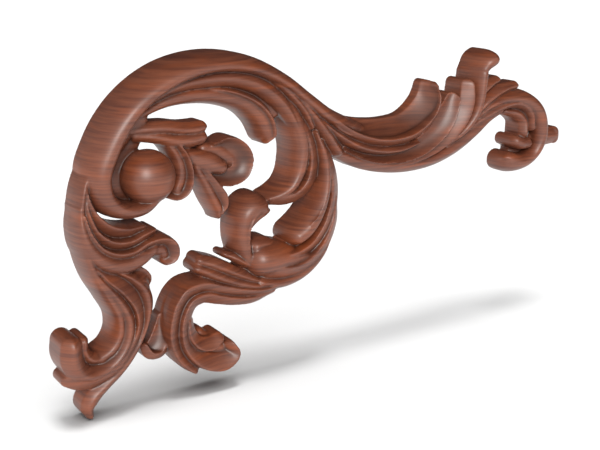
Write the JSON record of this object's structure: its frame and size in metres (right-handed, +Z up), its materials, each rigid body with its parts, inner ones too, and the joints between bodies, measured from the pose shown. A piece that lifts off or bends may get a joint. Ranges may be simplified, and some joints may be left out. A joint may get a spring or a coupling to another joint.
{
  "type": "carved corner applique",
  "caption": "Carved wooden corner ornament with a flat back: an acanthus scroll with a ball in its eye and one long arm.",
  "frame": {"origin": "fixing point on the flat back, under the junction of the arm and the scroll", "axes": "+X along the length towards the end of the arm, +Z up as the ornament is hung, +Y out of the flat back into the wall"},
  "size_m": [0.3841, 0.0273, 0.2039],
  "materials": {
    "wood": "reddish brown under satin lacquer, grain along the length; taken for walnut, the species is assumed"
  },
  "bodies": {
    "root": {"corner_applique": "wood"}
  },
  "joints": []
}
